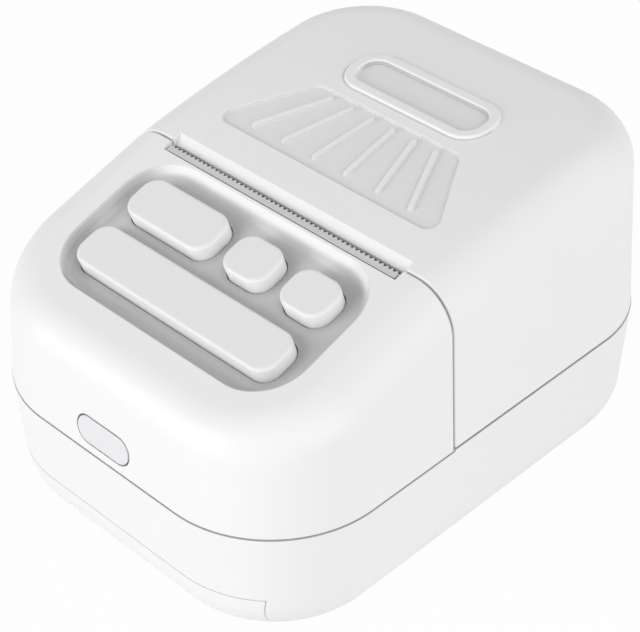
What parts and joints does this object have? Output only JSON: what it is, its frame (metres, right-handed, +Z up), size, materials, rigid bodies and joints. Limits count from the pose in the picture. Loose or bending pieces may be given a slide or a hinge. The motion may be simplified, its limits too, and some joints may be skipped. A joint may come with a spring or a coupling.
{
  "type": "portable thermal printer",
  "caption": "Palm-sized receipt printer: rounded white case with sunken keypad, push keys, oval power button and a rear-hinged hood over the paper bay and roller.",
  "frame": {"origin": "on the ground under the middle of the case", "axes": "+Z up, the keypad and the power button face -Y, the hood is hinged at +Y, +X is the gear side"},
  "size_m": [0.084, 0.11, 0.0686],
  "materials": {
    "case_white": "moulded white plastic, fine satin texture",
    "key_white": "moulded white key caps, satin",
    "button_grey": "lavender-grey button cap, satin",
    "dark_plastic": "moulded black plastic",
    "white_gear_plastic": "natural white nylon",
    "rubber": "black rubber",
    "steel": "plain steel",
    "frame_steel": "zinc-plated sheet steel",
    "aluminium": "extruded aluminium",
    "ceramic": "glazed ceramic strip",
    "bronze": "sintered bronze",
    "circuit_board": "green solder mask",
    "chip_black": "black moulded chips",
    "battery_wrap": "blue-grey shrink wrap",
    "ribbon": "amber film"
  },
  "bodies": {
    "base": {"base_case": "case_white", "front_housing": "case_white", "bottom_cover": "case_white", "rubber_feet": "rubber", "hinge_pin": "steel", "tear_bar": "steel", "key_switches": "chip_black", "keypad_board": "circuit_board", "keypad_screws": "steel", "power_switch": "chip_black", "power_board": "circuit_board", "power_board_screws": "steel", "idler_stud": "steel", "stepper_motor": "frame_steel", "mechanism_frame": "frame_steel", "frame_screws": "steel", "print_head": "ceramic", "heat_sink": "aluminium", "head_springs": "steel", "head_ribbon": "ribbon", "paper_tub": "dark_plastic", "battery_pack": "battery_wrap", "main_board": "circuit_board", "board_screws": "steel", "board_components": "chip_black", "usb_socket": "steel", "case_screws": "steel", "cover_screws": "steel"},
    "lid": {"lid_cover": "case_white", "platen_holder": "dark_plastic", "holder_screws": "steel", "platen_bushes": "bronze"},
    "platen": {"platen_roller": "rubber", "platen_shaft": "steel", "platen_gear": "white_gear_plastic"},
    "idler": {"idler_gear": "white_gear_plastic"},
    "motor_rotor": {"motor_pinion": "bronze", "motor_shaft": "steel"},
    "long_key_cap": {"long_key": "key_white", "long_key_plunger": "dark_plastic"},
    "medium_key_cap": {"medium_key": "key_white", "medium_key_plunger": "dark_plastic"},
    "small_key_left_cap": {"small_key_left": "key_white", "small_key_left_plunger": "dark_plastic"},
    "small_key_right_cap": {"small_key_right": "key_white", "small_key_right_plunger": "dark_plastic"},
    "power_cap": {"power_button": "button_grey", "power_button_plunger": "dark_plastic"}
  },
  "joints": [
    {"name": "lid_hinge", "type": "hinge", "parent": "base", "child": "lid", "pos_m": [0, 0.0524, 0.031], "axis": [-1, 0, 0], "range_deg": [0, 75]},
    {"name": "platen_spin", "type": "hinge", "parent": "lid", "child": "platen", "pos_m": [0, -0.005, 0.0515], "axis": [1, 0, 0], "continuous": true},
    {"name": "idler_spin", "type": "hinge", "parent": "base", "child": "idler", "pos_m": [0, -0.00875, 0.04223], "axis": [1, 0, 0], "continuous": true},
    {"name": "motor_spin", "type": "hinge", "parent": "base", "child": "motor_rotor", "pos_m": [0, -0.00727, 0.03386], "axis": [1, 0, 0], "continuous": true},
    {"name": "long_key_press", "type": "slide", "parent": "base", "child": "long_key_cap", "axis": [0, 0.309, -0.9511], "range_m": [0, 0.0006], "stiffness_N_per_m": 400},
    {"name": "medium_key_press", "type": "slide", "parent": "base", "child": "medium_key_cap", "axis": [0, 0.309, -0.9511], "range_m": [0, 0.0006], "stiffness_N_per_m": 400},
    {"name": "small_key_left_press", "type": "slide", "parent": "base", "child": "small_key_left_cap", "axis": [0, 0.309, -0.9511], "range_m": [0, 0.0006], "stiffness_N_per_m": 400},
    {"name": "small_key_right_press", "type": "slide", "parent": "base", "child": "small_key_right_cap", "axis": [0, 0.309, -0.9511], "range_m": [0, 0.0006], "stiffness_N_per_m": 400},
    {"name": "power_press", "type": "slide", "parent": "base", "child": "power_cap", "axis": [0, 0.9945, -0.1045], "range_m": [0, 0.0005], "stiffness_N_per_m": 400}
  ],
  "couplings": [
    {"joint": "idler_spin", "follows": "platen_spin", "ratio": -0.66667},
    {"joint": "motor_spin", "follows": "platen_spin", "ratio": 1.6}
  ]
}
